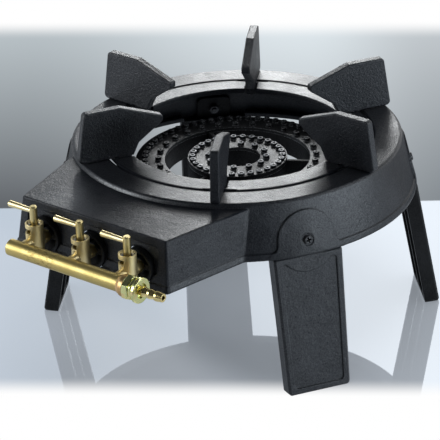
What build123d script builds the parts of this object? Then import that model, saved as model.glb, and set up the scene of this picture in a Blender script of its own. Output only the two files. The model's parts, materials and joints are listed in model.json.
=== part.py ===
from build123d import *
import os
from math import asin, cos, degrees, hypot, radians, sin, sqrt, tan

os.makedirs("parts", exist_ok=True)

# Cast-iron wok burner on four bolted legs, with a brass gas train of three cocks.
# Millimetres and degrees. The front, with the cocks, faces -Y; the part stands on z = 0.
# Angles round the burner are counted from the front, positive toward +X.

# Stove body
deck_height = 218.0
body_depth = 62.0
rim_radius = 187.5
wall_slope = 14.0
wall = 5.5
deck_thickness = 6.0
deck_width = 31.5
deck_gap = 0.4
rim_round = 4.0
lip_width = 1.5
lip_height = 7.0
flange_width = 11.0
flange_thickness = 5.0

# Nose box in front of the round wall
nose_length = 68.5
nose_drop = 5.0
nose_draft = 5.0
nose_front_draft = 8.0
nose_flare = 11.6
nose_corner = 2.5
nose_blend = 9.0
nose_sink = 0.15
nose_edge = 1.2
nose_border = 35.0
nose_root = 94.0
panel_margin = 9.0
panel_depth = 2.2
panel_corner = 6.0

# Pan support ring and fins
ring_groove = 2.0
ring_width = 27.0
ring_edge = 1.2
ledge_reach = 10.0
ledge_root = 10.0
ledge_thickness = 5.0
ledge_span = 34.0
fin_count = 6
fin_thickness = 10.0
fin_height = 59.5
fin_overhang = 5.0
fin_lean = 8.5
fin_knee = 13.0
fin_reach = 36.5
fin_tip_top = 41.5
fin_tip_bottom = 35.0
fin_tip_round = 2.8
fin_heel = 7.0
fin_heel_height = 14.0
fin_corner = 5.0
fin_edge = 1.0
tongue_inset = 2.5
tongue_length = 15.5
tongue_drop = 2.5
slot_clearance = 1.2
notch_width = 36.0
notch_depth = 4.0

# Burner castings
burner_drop = 30.0
burner_clearance = 10.0
trough_width = 34.0
annular_gap = 26.0
burner_hole_radius = 26.0
casting_wall = 4.0
cap_thickness = 4.0
skirt_depth = 4.0
skirt_width = 2.0
skirt_clearance = 0.6
cap_rim_width = 1.8
cap_rim_height = 1.4
nipple_radius = 3.7
nipple_height = 3.6
nipple_bore_radius = 1.5
nipple_taper = 2.5
nipple_inset = 5.5
flank_width = 6.0
flank_drop = 1.5
flank_inset = 11.0
nipple_sides = 8
bore_sides = 6
outer_row_counts = (60, 28)
inner_row_counts = (30, 12)
spoke_angles = (0.0, 120.0, 240.0)
spoke_width = 4.0
spoke_depth = 8.0
spoke_shelf = 6.0
spoke_shelf_width = 10.0
spoke_shelf_depth = 13.0
spoke_gap = 0.6
bracket_angles = (46.0, 180.0, 314.0)
bracket_width = 16.0
bracket_thickness = 6.0
bracket_overlap = 10.5
bolt_offset = 8.5
ear_thickness = 8.0
ear_overhang = 7.5
bolt_radius = 3.0
bolt_clearance = 0.3
bolt_head_height = 4.0
bolt_tail = 2.0
nut_height = 5.0
nut_across_flats = 10.0

# Mixing tubes
tube_radius = 10.0
tube_bore_radius = 7.0
tube_rise = 4.0
bell_radius = 20.3
bell_wall = 3.0
bell_length = 26.0
bell_stand = 8.0
bell_band = 16.0
bell_panel_clearance = 0.6
bridge_width = 7.0
bridge_length = 9.0
bridge_boss_radius = 8.0
dip_clearance = 3.5
dip_bend_radius = 28.0
dip_start = 90.0
dip_run = 50.0
dip_end = 13.0

# Gas train
valve_pitch = 65.0
valve_names = ("left", "centre", "right")
valve_stand = 22.0
valve_radius = 10.0
valve_rise = 22.0
valve_drop = 13.0
manifold_stand = 26.0
manifold_radius = 9.3
manifold_wall = 2.0
manifold_overrun = 12.3
manifold_plug_length = 6.0
neck_radius = 6.5
outlet_radius = 7.0
outlet_step = 0.5
port_radius = 3.0
braze_gap = 0.05
plug_taper = 1.3
plug_shoulder = 0.7
plug_floor = 3.0
plug_clearance = 0.08
cup_wall = 1.9
cup_depth = 13.2
slot_height = 6.0
slot_below_top = 4.8
slot_margin = 16.0
pin_radius = 1.95
pin_setback = 0.5
fit_gap = 0.05
stem_radius = 4.25
stem_rise = 42.0
stem_round = 1.0
lever_drop = 6.0
lever_length = 34.5
lever_root_radius = 2.8
lever_tip_radius = 3.7
lever_round = 0.9
lever_seat = 3.0
spring_thickness = 0.8
spring_gap = 0.1
retainer_thickness = 1.4
retainer_drop = 2.0
retainer_bite = 0.7
retainer_gap = 0.7
running_gap = 0.3
injector_across_flats = 13.0
injector_hex_length = 7.8
injector_thread_radius = 4.9
injector_thread_length = 2.6
injector_nose_length = 9.0
injector_bore_radius = 2.0
injector_gap = 0.3
jet_radius = 0.7
collar_offset = 11.5
collar_width = 9.6
collar_root = 1.0
collar_rise = 3.2
collar_band = 4.6
union_cover = 10.7
nut_gap = 0.1
union_wall = 2.95
union_hex_length = 16.5
union_round_length = 1.8
union_round_rise = 2.6
union_bore_gap = 0.2
union_chamfer = 0.6
tail_flange_length = 4.0
tail_shank_radius = 5.0
tail_bore_radius = 2.6
tail_length = 28.7
barb_radius = 5.6
barb_root_radius = 3.7
barb_crest = 2.6
barb_slope = 6.6
barb_count = 3
tail_tip_radius = 4.6

# Legs
leg_angles = (59.3, -59.3, 134.0, -134.0)
leg_names = ("front_right", "front_left", "rear_right", "rear_left")
leg_inset = 1.5
leg_lean = 10.2
leg_top_half_width = 40.5
leg_foot_half_width = 36.5
leg_depth = 17.0
leg_front_thickness = 5.5
leg_side = 6.0
leg_rib = 5.0
leg_foot_thickness = 8.0
leg_corner = 5.0
leg_top_round = 3.0
leg_edge = 2.0
leg_panel_border = 7.5
leg_panel_depth = 1.6
leg_panel_corner = 4.0
leg_arc_radius = 36.0
pad_radius = 34.0
pad_rise = 1.8
pad_flare = 9.0
pad_foot = 44.0
tab_half_width = 20.0
tab_thickness = 5.0
tab_rise = 15.0
tab_corner = 8.0
tab_clearance = 0.2
screw_rise = 16.0
screw_head_radius = 5.2
screw_head_height = 3.0
screw_head_draft = 15.0
screw_recess_width = 1.3
screw_recess_length = 5.2
screw_recess_depth = 1.5
spot_radius = 7.0
spot_depth = 0.8

# Heights worked out from the sizes above
body_bottom = deck_height - body_depth
nose_top = deck_height - nose_drop
deck_under = deck_height - deck_thickness
deck_top = deck_height - deck_gap
cap_top = deck_height - burner_drop
cap_seat = cap_top - cap_thickness
base_bottom = body_bottom + bracket_thickness
base_depth = cap_seat - base_bottom
gas_height = (base_bottom + cap_seat) / 2 + tube_rise
screw_height = body_bottom + screw_rise
valve_top = gas_height + valve_rise
valve_bottom = gas_height - valve_drop
stem_top = gas_height + stem_rise

# Radii about the burner axis
opening_radius = rim_radius - deck_width
ring_outer_radius = opening_radius - ring_groove
ring_inner_radius = ring_outer_radius - ring_width
outer_burner_outer_radius = ring_inner_radius - burner_clearance
outer_burner_inner_radius = outer_burner_outer_radius - trough_width
inner_burner_outer_radius = outer_burner_inner_radius - annular_gap
bracket_bolt_radius = outer_burner_outer_radius + bolt_offset
tongue_inner_radius = ring_inner_radius + tongue_inset
tongue_outer_radius = tongue_inner_radius + tongue_length

# Distances forward of the burner axis
nose_reach = rim_radius + nose_length
bell_reach = nose_reach + bell_stand
throat_forward = bell_reach - bell_length
valve_forward = nose_reach + valve_stand
manifold_forward = valve_forward + manifold_stand
outlet_reach = valve_radius + outlet_step
bridge_forward = valve_forward - outlet_reach - injector_hex_length - injector_gap

# The part is centred between the union nut in front and the lip behind
wall_tangent = tan(radians(wall_slope))
union_across_flats = 2 * (manifold_radius + union_wall)
union_corner = union_across_flats / sqrt(3)
front_reach = manifold_forward + union_corner
back_reach = rim_radius + body_depth * wall_tangent + lip_width - nose_sink
axis_y = (front_reach - back_reach) / 2
burner_axis = Axis((0, axis_y, 0), (0, 0, 1))
fin_step = 360.0 / fin_count
same_place = 0.01


def level(height, angle=90.0):
    """Horizontal plane on the burner axis, with local x pointing outward at an angle."""
    turn = radians(angle)
    return Plane((0, axis_y, height), x_dir=(sin(turn), -cos(turn), 0), z_dir=(0, 0, 1))


def upright(angle):
    """Upright plane through the burner axis: local x points outward, local y up."""
    turn = radians(angle)
    return Plane((0, axis_y, 0), x_dir=(sin(turn), -cos(turn), 0), z_dir=(-cos(turn), -sin(turn), 0))


def facing(forward, height, across=0.0):
    """Upright plane that faces the front: local x is +X, local y is up."""
    return Plane((across, axis_y - forward, height), x_dir=(1, 0, 0), z_dir=(0, -1, 0))


def sideways(across):
    """Upright plane square to X on the manifold's axis."""
    return Plane((across, axis_y - manifold_forward, gas_height), x_dir=(0, 1, 0), z_dir=(1, 0, 0))


def save(piece, name):
    piece.part.label = name
    export_step(piece.part, f"parts/{name}.step")


def wall_radius(height):
    return rim_radius + (deck_height - height) * wall_tangent


def nose_outline(height, inset=0.0):
    """Plan of the flared nose at one height, blended into a disc just inside the round wall."""
    radius = wall_radius(height) - inset - nose_sink
    spread = tan(radians(nose_flare))
    front = nose_reach + (nose_top - height) * tan(radians(nose_front_draft)) - inset
    half = valve_pitch + nose_border + (nose_top - height) * tan(radians(nose_draft)) - inset
    root_half = half + (front - nose_root) * spread
    with BuildSketch(level(height)) as plan:
        with BuildLine():
            Polyline(
                (-root_half, -nose_root),
                (-half, -front),
                (half, -front),
                (root_half, -nose_root),
                close=True,
            )
        make_face()
        fillet(plan.vertices().group_by(Axis.Y)[0], nose_corner - min(inset, nose_corner / 2))
        Circle(radius)
        on_wall = [v for v in plan.vertices() if abs(hypot(v.X, v.Y) - radius) < same_place]
        fillet([v for v in on_wall if v.Y < 0 and abs(v.X) > half], nose_blend + inset)
    return plan.sketch


def wall_plane(angle):
    """Plane that touches the outside of the wall at a leg screw, local y up the slope."""
    turn = radians(angle)
    slope = radians(wall_slope)
    radius = wall_radius(screw_height)
    origin = (radius * sin(turn), axis_y - radius * cos(turn), screw_height)
    normal = (cos(slope) * sin(turn), -cos(slope) * cos(turn), sin(slope))
    return Plane(origin, x_dir=(cos(turn), sin(turn), 0), z_dir=normal)


def leg_plane(angle):
    """Plane of a leg's outer face, with its origin where the leg meets the body."""
    turn = radians(angle)
    lean = radians(leg_lean)
    radius = wall_radius(body_bottom) - leg_inset
    origin = (radius * sin(turn), axis_y - radius * cos(turn), body_bottom)
    normal = (cos(lean) * sin(turn), -cos(lean) * cos(turn), sin(lean))
    return Plane(origin, x_dir=(cos(turn), sin(turn), 0), z_dir=normal)


# Arched pads on the wall over the legs, trimmed to a shell over the cone
with BuildPart() as leg_pads:
    for angle in leg_angles:
        with BuildSketch(wall_plane(angle)) as pad:
            pad_drop = (screw_height - body_bottom) / cos(radians(wall_slope)) + wall
            Rectangle(2 * pad_radius, pad_drop, align=(Align.CENTER, Align.MAX))
            with Locations((0, -pad_drop)):
                Rectangle(2 * pad_foot, wall + lip_height, align=(Align.CENTER, Align.MIN))
            on_sides = [v for v in pad.vertices() if abs(abs(v.X) - pad_radius) < same_place]
            fillet([v for v in on_sides if v.Y < 0], pad_flare)
            Circle(pad_radius)
        extrude(amount=wall, both=True)
    with BuildSketch(upright(0)):
        with BuildLine():
            Polyline(
                (wall_radius(body_bottom) - wall / 2, body_bottom),
                (wall_radius(body_bottom) + pad_rise, body_bottom),
                (wall_radius(nose_top) + pad_rise, nose_top),
                (wall_radius(nose_top) - wall / 2, nose_top),
                close=True,
            )
        make_face()
    revolve(axis=burner_axis, mode=Mode.INTERSECT)

# Stove body: conical shell with a deck and a drafted nose, open below
with BuildPart() as stove_body:
    with BuildSketch(upright(0)):
        with BuildLine():
            Polyline(
                (0, body_bottom),
                (wall_radius(body_bottom), body_bottom),
                (wall_radius(deck_top), deck_top),
                (0, deck_top),
                close=True,
            )
        make_face()
    revolve(axis=burner_axis)
    fillet(stove_body.edges().filter_by(GeomType.CIRCLE).sort_by(Axis.Z)[-1], rim_round)
    half_edge = nose_edge * (1 - cos(radians(45)))
    loft(
        [
            nose_outline(body_bottom),
            nose_outline(nose_top - nose_edge),
            nose_outline(nose_top - half_edge, half_edge),
            nose_outline(nose_top, nose_edge),
        ],
        ruled=True,
    )
    extrude(nose_outline(body_bottom, -lip_width), amount=lip_height, taper=wall_slope)
    add(leg_pads.part)
    roof_under = nose_top - wall
    loft([nose_outline(body_bottom, wall), nose_outline(roof_under, wall)], ruled=True, mode=Mode.SUBTRACT)
    with BuildSketch(upright(0)):
        with BuildLine():
            Polyline(
                (0, body_bottom),
                (wall_radius(body_bottom) - wall, body_bottom),
                (wall_radius(deck_under) - wall, deck_under),
                (opening_radius, deck_under),
                (opening_radius, deck_height),
                (0, deck_height),
                close=True,
            )
        make_face()
    revolve(axis=burner_axis, mode=Mode.SUBTRACT)
    # Ledges between the fins, which carry the pan support ring
    for index in range(fin_count):
        with BuildSketch(upright(index * fin_step - ledge_span / 2)):
            with Locations((opening_radius - ledge_reach, deck_under)):
                Rectangle(ledge_reach + ledge_root, ledge_thickness, align=(Align.MIN, Align.MAX))
        revolve(axis=burner_axis, revolution_arc=ledge_span)
    # Inward flange along the bottom edge between the legs
    leg_clear = degrees(asin(leg_top_half_width / wall_radius(body_bottom)))
    round_order = sorted(angle % 360 for angle in leg_angles)
    for before, after in zip(round_order, round_order[1:]):
        with BuildSketch(upright(before + leg_clear)):
            flange_outer = wall_radius(body_bottom) - wall / 2
            flange_inner = wall_radius(body_bottom) - wall - flange_width
            with Locations((flange_inner, body_bottom)):
                Rectangle(flange_outer - flange_inner, flange_thickness, align=(Align.MIN, Align.MIN))
        revolve(axis=burner_axis, revolution_arc=after - before - 2 * leg_clear)
    # Brackets from the wall to the burner's ears
    for angle in bracket_angles:
        with BuildSketch(level(body_bottom, angle)):
            bracket_end = wall_radius(base_bottom) - wall / 2
            bracket_inner_radius = bracket_bolt_radius - bracket_overlap
            with Locations((bracket_inner_radius, 0)):
                Rectangle(bracket_end - bracket_inner_radius, bracket_width, align=(Align.MIN, Align.CENTER))
            with Locations((bracket_bolt_radius, 0)):
                Circle(bolt_radius + bolt_clearance, mode=Mode.SUBTRACT)
        extrude(amount=bracket_thickness)
    # Sunk front panel with a round hole for each bell mouth
    front_draft = radians(nose_front_draft)
    panel_width = 2 * (valve_pitch + nose_border - panel_margin)
    panel_height = nose_top - body_bottom - lip_height - 2 * panel_margin
    panel_middle = (nose_top + body_bottom + lip_height) / 2
    panel_forward = nose_reach + (nose_top - panel_middle) * tan(front_draft)
    panel_normal = (0, -cos(front_draft), sin(front_draft))
    with BuildSketch(Plane((0, axis_y - panel_forward, panel_middle), x_dir=(1, 0, 0), z_dir=panel_normal)):
        RectangleRounded(panel_width, panel_height, panel_corner)
    extrude(amount=-panel_depth, mode=Mode.SUBTRACT)
    with BuildSketch(facing(bell_reach + wall, gas_height)):
        with GridLocations(valve_pitch, 0, len(valve_names), 1):
            Circle(bell_radius + bell_panel_clearance)
    extrude(amount=-bell_length - wall, mode=Mode.SUBTRACT)
    # Screw holes and flat seats for the leg screws
    for angle in leg_angles:
        with BuildSketch(wall_plane(angle).offset(pad_rise)):
            Circle(bolt_radius + bolt_clearance)
        extrude(amount=-2 * wall - pad_rise, mode=Mode.SUBTRACT)
        with BuildSketch(wall_plane(angle).offset(pad_rise - spot_depth)):
            Circle(spot_radius)
        extrude(amount=wall, mode=Mode.SUBTRACT)
save(stove_body, "stove_body")

# Pan support ring: flat ring with a slot for each fin's tongue and a notch in its outer edge
with BuildPart() as pan_support_ring:
    with BuildSketch(level(deck_under)):
        Circle(ring_outer_radius)
        Circle(ring_inner_radius, mode=Mode.SUBTRACT)
        slot_reach = tongue_outer_radius + slot_clearance
        with PolarLocations(slot_reach / 2, fin_count, start_angle=fin_step / 2 - 90):
            Rectangle(slot_reach, fin_thickness + 2 * slot_clearance, mode=Mode.SUBTRACT)
        with PolarLocations(ring_outer_radius, fin_count, start_angle=fin_step / 2 - 90):
            Rectangle(2 * notch_depth, notch_width, mode=Mode.SUBTRACT)
    extrude(amount=deck_thickness)
    chamfer(pan_support_ring.faces().sort_by(Axis.Z)[-1].edges(), ring_edge)
save(pan_support_ring, "pan_support_ring")

# Pan fins: cast plates that stand on the ring, with a tongue through its slot
for index in range(fin_count):
    with BuildPart() as pan_fin:
        with BuildSketch(upright((index + 0.5) * fin_step)) as fin_side:
            fin_outer = rim_radius + fin_overhang
            fin_outer_top = fin_outer - fin_height * tan(radians(fin_lean))
            fin_tip = ring_inner_radius - fin_reach
            with BuildLine():
                Polyline(
                    (ring_inner_radius, deck_height),
                    (fin_outer, deck_height),
                    (fin_outer_top, deck_height + fin_height),
                    (ring_inner_radius + fin_knee, deck_height + fin_height),
                    (fin_tip, deck_height + fin_tip_top),
                    (fin_tip, deck_height + fin_tip_bottom),
                    (ring_inner_radius - fin_heel, deck_height + fin_heel_height),
                    close=True,
                )
            make_face()
            fillet(fin_side.vertices().sort_by(Axis.X)[-2:], fin_corner)
            fillet(fin_side.vertices().sort_by(Axis.X)[:2], fin_tip_round)
        extrude(amount=fin_thickness / 2, both=True)
        chamfer(pan_fin.faces().filter_by(upright((index + 0.5) * fin_step)).edges(), fin_edge)
        with BuildSketch(upright((index + 0.5) * fin_step)):
            with Locations((tongue_inner_radius, deck_height + fin_edge)):
                tongue_depth = deck_thickness + tongue_drop + fin_edge
                Rectangle(tongue_length, tongue_depth, align=(Align.MIN, Align.MAX))
        extrude(amount=fin_thickness / 2, both=True)
    save(pan_fin, f"pan_fin_{index + 1}")


def mixing_mouth(across):
    """Flared bell mouth with the bridge that holds an injector."""
    with BuildPart(mode=Mode.PRIVATE) as mouth:
        with BuildSketch(Plane((across, axis_y, gas_height), x_dir=(0, -1, 0), z_dir=(-1, 0, 0))):
            with BuildLine():
                flare = Spline(
                    (throat_forward, tube_radius),
                    (bell_reach - bell_band, bell_radius),
                    tangents=((1, 0), (1, 1)),
                )
                Line(flare @ 1, (bell_reach, bell_radius))
                Line((bell_reach, bell_radius), (bell_reach, bell_radius - bell_wall))
                inner = Spline(
                    (bell_reach, bell_radius - bell_wall),
                    (throat_forward, tube_bore_radius),
                    tangents=((-1, -1), (-1, 0)),
                )
                Line(inner @ 1, flare @ 0)
            make_face()
        revolve(axis=Axis((across, axis_y, gas_height), (0, 1, 0)))
        with BuildSketch(facing(bridge_forward, gas_height, across)):
            Rectangle(2 * (bell_radius - bell_wall), bridge_width)
            Circle(bridge_boss_radius)
            Circle(injector_thread_radius + fit_gap, mode=Mode.SUBTRACT)
        extrude(amount=-bridge_length)
    return mouth.part


# Outer burner base: ring trough, two mixing tubes, ears and shelves for the inner burner's spokes
with BuildPart() as outer_burner_base:
    with BuildSketch(level(base_bottom)):
        Circle(outer_burner_outer_radius)
        Circle(outer_burner_inner_radius, mode=Mode.SUBTRACT)
    extrude(amount=base_depth)
    trough_middle = (outer_burner_outer_radius + outer_burner_inner_radius) / 2
    tube_length = throat_forward - sqrt(trough_middle**2 - valve_pitch**2)
    with BuildSketch(facing(throat_forward, gas_height)):
        with GridLocations(2 * valve_pitch, 0, 2, 1):
            Circle(tube_radius)
    extrude(amount=-tube_length)
    for angle in bracket_angles:
        with BuildSketch(level(base_bottom, angle)):
            ear_root = outer_burner_outer_radius - casting_wall
            ear_end = bracket_bolt_radius + ear_overhang
            with Locations((ear_root, 0)):
                Rectangle(ear_end - ear_root, bracket_width, align=(Align.MIN, Align.CENTER))
            with Locations((bracket_bolt_radius, 0)):
                Circle(bolt_radius + bolt_clearance, mode=Mode.SUBTRACT)
        extrude(amount=ear_thickness)
    spoke_seat = cap_top - cap_thickness / 2 - spoke_depth
    for angle in spoke_angles:
        with BuildSketch(level(spoke_seat, angle)):
            with Locations((outer_burner_inner_radius - spoke_shelf, 0)):
                Rectangle(spoke_shelf + casting_wall / 2, spoke_shelf_width, align=(Align.MIN, Align.CENTER))
        extrude(amount=-spoke_shelf_depth)
    with BuildSketch(level(base_bottom + casting_wall)):
        Circle(outer_burner_outer_radius - casting_wall)
        Circle(outer_burner_inner_radius + casting_wall, mode=Mode.SUBTRACT)
    extrude(amount=base_depth, mode=Mode.SUBTRACT)
    with BuildSketch(facing(throat_forward, gas_height)):
        with GridLocations(2 * valve_pitch, 0, 2, 1):
            Circle(tube_bore_radius)
    extrude(amount=-tube_length, mode=Mode.SUBTRACT)
    with BuildSketch(level(cap_seat)):
        Circle(outer_burner_outer_radius + skirt_clearance)
    extrude(amount=burner_drop, mode=Mode.SUBTRACT)
    for across in (-valve_pitch, valve_pitch):
        add(mixing_mouth(across))
save(outer_burner_base, "outer_burner_base")

# Inner burner base: ring bowl on the centre mixing tube, which dips under the outer trough
dip_height = base_bottom - dip_clearance - tube_radius
rise_height = base_bottom + base_depth / 3
with BuildPart() as inner_burner_base:
    with BuildLine(Plane((0, axis_y, 0), x_dir=(0, -1, 0), z_dir=(-1, 0, 0))) as tube_path:
        FilletPolyline(
            (throat_forward, gas_height),
            (outer_burner_outer_radius + dip_start, gas_height),
            (outer_burner_outer_radius + dip_start - dip_run, dip_height),
            (outer_burner_inner_radius, dip_height),
            (inner_burner_outer_radius - dip_end, rise_height),
            radius=dip_bend_radius,
        )
    with BuildSketch(facing(throat_forward, gas_height)):
        Circle(tube_radius)
    sweep(path=tube_path.line)
    with BuildSketch(level(base_bottom)):
        Circle(inner_burner_outer_radius)
    extrude(amount=base_depth)
    for angle in spoke_angles:
        with BuildSketch(level(spoke_seat, angle)):
            spoke_end = outer_burner_inner_radius - spoke_gap
            spoke_length = spoke_end - inner_burner_outer_radius + casting_wall / 2
            with Locations((spoke_end, 0)):
                Rectangle(spoke_length, spoke_width, align=(Align.MAX, Align.CENTER))
        extrude(amount=spoke_depth)
        with BuildSketch(level(base_bottom, angle)):
            with Locations((spoke_end - spoke_shelf, 0)):
                Rectangle(spoke_length - spoke_shelf, spoke_width, align=(Align.MAX, Align.CENTER))
        extrude(amount=spoke_seat - base_bottom)
    with BuildSketch(level(base_bottom + casting_wall)):
        Circle(inner_burner_outer_radius - casting_wall)
        Circle(burner_hole_radius + casting_wall, mode=Mode.SUBTRACT)
    extrude(amount=base_depth, mode=Mode.SUBTRACT)
    with BuildSketch(level(body_bottom - base_depth)):
        Circle(burner_hole_radius)
    extrude(amount=deck_height, mode=Mode.SUBTRACT)
    with BuildSketch(facing(throat_forward, gas_height)):
        Circle(tube_bore_radius)
    sweep(path=tube_path.line, mode=Mode.SUBTRACT)
    with BuildSketch(level(cap_seat)):
        Circle(inner_burner_outer_radius + skirt_clearance)
    extrude(amount=burner_drop, mode=Mode.SUBTRACT)
    add(mixing_mouth(0.0))
save(inner_burner_base, "inner_burner_base")


def turns(count):
    """Angles in radians that divide a full turn evenly."""
    return [radians(360 * index / count) for index in range(count)]


def row(radius, count):
    """Places of one row of nipples about the burner axis."""
    return [(radius * cos(turn), radius * sin(turn)) for turn in turns(count)]


def burner_cap(outer_radius, inner_radius, counts, flanked):
    """Ring cap with locating skirts and two rows of drilled nipples, inside a flank or a raised rim."""
    if flanked:
        outer_row = row(outer_radius - flank_inset, counts[0])
        edge = [(outer_radius, cap_top - flank_drop), (outer_radius - flank_width, cap_top)]
    else:
        outer_row = row(outer_radius - nipple_inset, counts[0])
        rim_top = cap_top + cap_rim_height
        rim_inner = outer_radius - cap_rim_width
        edge = [(outer_radius, rim_top), (rim_inner, rim_top), (rim_inner, cap_top)]
    inner_row = row(inner_radius + nipple_inset + cap_rim_width, counts[1])
    with BuildPart() as cap:
        with BuildSketch(upright(0)):
            with BuildLine():
                Polyline(
                    (inner_radius, cap_top),
                    (inner_radius, cap_seat),
                    (outer_radius, cap_seat),
                    *edge,
                    close=True,
                )
            make_face()
        revolve(axis=burner_axis)
        inner_skirt = inner_radius + casting_wall + skirt_clearance
        outer_skirt = outer_radius - casting_wall - skirt_clearance
        for skirt_radius in (inner_skirt + skirt_width, outer_skirt):
            with BuildSketch(level(cap_seat)):
                Circle(skirt_radius)
                Circle(skirt_radius - skirt_width, mode=Mode.SUBTRACT)
            extrude(amount=-skirt_depth)
        with BuildSketch(level(cap_top)):
            with Locations(outer_row + inner_row):
                RegularPolygon(nipple_radius, nipple_sides)
        extrude(amount=nipple_height, taper=nipple_taper)
        with BuildSketch(level(cap_top + nipple_height)):
            with Locations(outer_row + inner_row):
                RegularPolygon(nipple_bore_radius, bore_sides)
        extrude(amount=-nipple_height - cap_thickness - skirt_depth, mode=Mode.SUBTRACT)
    return cap


outer_burner_cap = burner_cap(outer_burner_outer_radius, outer_burner_inner_radius, outer_row_counts, True)
save(outer_burner_cap, "outer_burner_cap")
inner_burner_cap = burner_cap(inner_burner_outer_radius, burner_hole_radius, inner_row_counts, False)
save(inner_burner_cap, "inner_burner_cap")

# Bolts up through the brackets and ears, with their nuts on top
bolt_turns = [radians(angle) for angle in bracket_angles]
bolt_places = [(bracket_bolt_radius * sin(turn), -bracket_bolt_radius * cos(turn)) for turn in bolt_turns]
bolt_grip = bracket_thickness + ear_thickness
nut_corner = nut_across_flats / sqrt(3)
with BuildPart() as burner_bolts:
    with BuildSketch(level(body_bottom)):
        with Locations(bolt_places):
            RegularPolygon(nut_corner, 6)
    extrude(amount=-bolt_head_height)
    with BuildSketch(level(body_bottom)):
        with Locations(bolt_places):
            Circle(bolt_radius)
    extrude(amount=bolt_grip + nut_height + bolt_tail)
save(burner_bolts, "burner_bolts")

with BuildPart() as burner_nuts:
    with BuildSketch(level(body_bottom + bolt_grip)):
        with Locations(bolt_places):
            RegularPolygon(nut_corner, 6)
            Circle(bolt_radius + fit_gap, mode=Mode.SUBTRACT)
    extrude(amount=nut_height)
save(burner_nuts, "burner_nuts")

# Legs: tapered castings with a sunk outer panel, hollow inside, and a tab behind the wall
tab_inner_radius = wall_radius(screw_height + tab_rise) - wall
tab_sagitta = tab_inner_radius - sqrt(tab_inner_radius**2 - tab_half_width**2)
tab_set = wall * cos(radians(wall_slope)) + tab_sagitta + tab_clearance
leg_length = body_bottom / cos(radians(leg_lean))
leg_taper = (leg_top_half_width - leg_foot_half_width) / leg_length
screw_up = (screw_height - body_bottom) / cos(radians(leg_lean))


def leg_half_width(down):
    return leg_top_half_width - down * leg_taper


def leg_trapezoid(top, bottom, inset):
    """Tapered outline on a leg's plane, between two distances down from the body."""
    high = leg_half_width(top) - inset
    low = leg_half_width(bottom) - inset
    Polyline((-high, -top), (-low, -bottom), (low, -bottom), (high, -top), close=True)


for angle, place in zip(leg_angles, leg_names):
    with BuildPart() as leg:
        with BuildSketch(leg_plane(angle)) as leg_front:
            with BuildLine():
                leg_trapezoid(-leg_depth, leg_length, 0)
            make_face()
            fillet(leg_front.vertices().group_by(Axis.Y)[0], leg_corner)
        extrude(amount=-leg_depth)
        split(bisect_by=Plane.XY.offset(body_bottom), keep=Keep.BOTTOM)
        split(bisect_by=Plane.XY, keep=Keep.TOP)
        fillet(leg.faces().sort_by(Axis.Z)[-1].edges().sort_by(SortBy.LENGTH)[:2], leg_top_round)
        with BuildSketch(leg_plane(angle).offset(-leg_front_thickness)):
            with BuildLine():
                leg_trapezoid(leg_front_thickness, leg_length - leg_foot_thickness, leg_side)
            make_face()
            Rectangle(leg_rib, 2 * leg_length, mode=Mode.SUBTRACT)
        extrude(amount=-leg_depth, mode=Mode.SUBTRACT)
        with BuildSketch(leg_plane(angle)) as leg_panel:
            with BuildLine():
                leg_trapezoid(leg_panel_border, leg_length - leg_panel_border, leg_panel_border)
            make_face()
            fillet(leg_panel.vertices(), leg_panel_corner)
            with Locations((0, screw_up)):
                Circle(leg_arc_radius, mode=Mode.SUBTRACT)
        extrude(amount=-leg_panel_depth, mode=Mode.SUBTRACT)
        outer_face = leg.faces().sort_by(Axis(leg_plane(angle).origin, leg_plane(angle).z_dir))[-1]
        chamfer(outer_face.outer_wire().edges().sort_by(Axis.Z)[:-1], leg_edge)
        with BuildSketch(wall_plane(angle).offset(-tab_set)) as tab:
            tab_drop = (screw_height - body_bottom + leg_front_thickness / 2) / cos(radians(wall_slope))
            with Locations((0, (tab_rise - tab_drop) / 2)):
                Rectangle(2 * tab_half_width, tab_rise + tab_drop)
            fillet(tab.vertices().group_by(Axis.Y)[-1], tab_corner)
            Circle(bolt_radius + bolt_clearance, mode=Mode.SUBTRACT)
        extrude(amount=-tab_thickness)
    save(leg, f"leg_{place}")

# Leg screws and nuts
with BuildPart() as leg_screws:
    for angle in leg_angles:
        seat = wall_plane(angle).offset(pad_rise - spot_depth)
        screw_length = pad_rise - spot_depth + tab_set + tab_thickness + nut_height + bolt_tail
        with BuildSketch(seat):
            Circle(bolt_radius)
        extrude(amount=-screw_length)
        with BuildSketch(seat):
            Circle(screw_head_radius)
        extrude(amount=screw_head_height, taper=screw_head_draft)
        with BuildSketch(seat.offset(screw_head_height)):
            Rectangle(screw_recess_length, screw_recess_width)
            Rectangle(screw_recess_width, screw_recess_length)
        extrude(amount=-screw_recess_depth, mode=Mode.SUBTRACT)
save(leg_screws, "leg_screws")

with BuildPart() as leg_nuts:
    for angle in leg_angles:
        with BuildSketch(wall_plane(angle).offset(-tab_set - tab_thickness)):
            RegularPolygon(nut_corner, 6)
            Circle(bolt_radius + fit_gap, mode=Mode.SUBTRACT)
        extrude(amount=-nut_height)
save(leg_nuts, "leg_nuts")

# Manifold tube along X, with a port for each cock on its back
valve_places = [(index - 1) * valve_pitch for index in range(len(valve_names))]
manifold_left = -valve_pitch - manifold_overrun
collar_left = valve_pitch + collar_offset
union_left = collar_left + collar_width + nut_gap
manifold_right = union_left + union_cover
with BuildPart() as gas_manifold:
    with BuildSketch(sideways(manifold_left)):
        Circle(manifold_radius)
        Circle(manifold_radius - manifold_wall, mode=Mode.SUBTRACT)
    extrude(amount=manifold_right - manifold_left)
    with BuildSketch(facing(manifold_forward, gas_height)):
        with GridLocations(valve_pitch, 0, len(valve_names), 1):
            Circle(port_radius)
    extrude(amount=-2 * manifold_radius, mode=Mode.SUBTRACT)
save(gas_manifold, "gas_manifold")

with BuildPart() as manifold_plug:
    with BuildSketch(sideways(manifold_left)):
        Circle(manifold_radius - manifold_wall - fit_gap)
    extrude(amount=manifold_plug_length)
save(manifold_plug, "manifold_plug")

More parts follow.
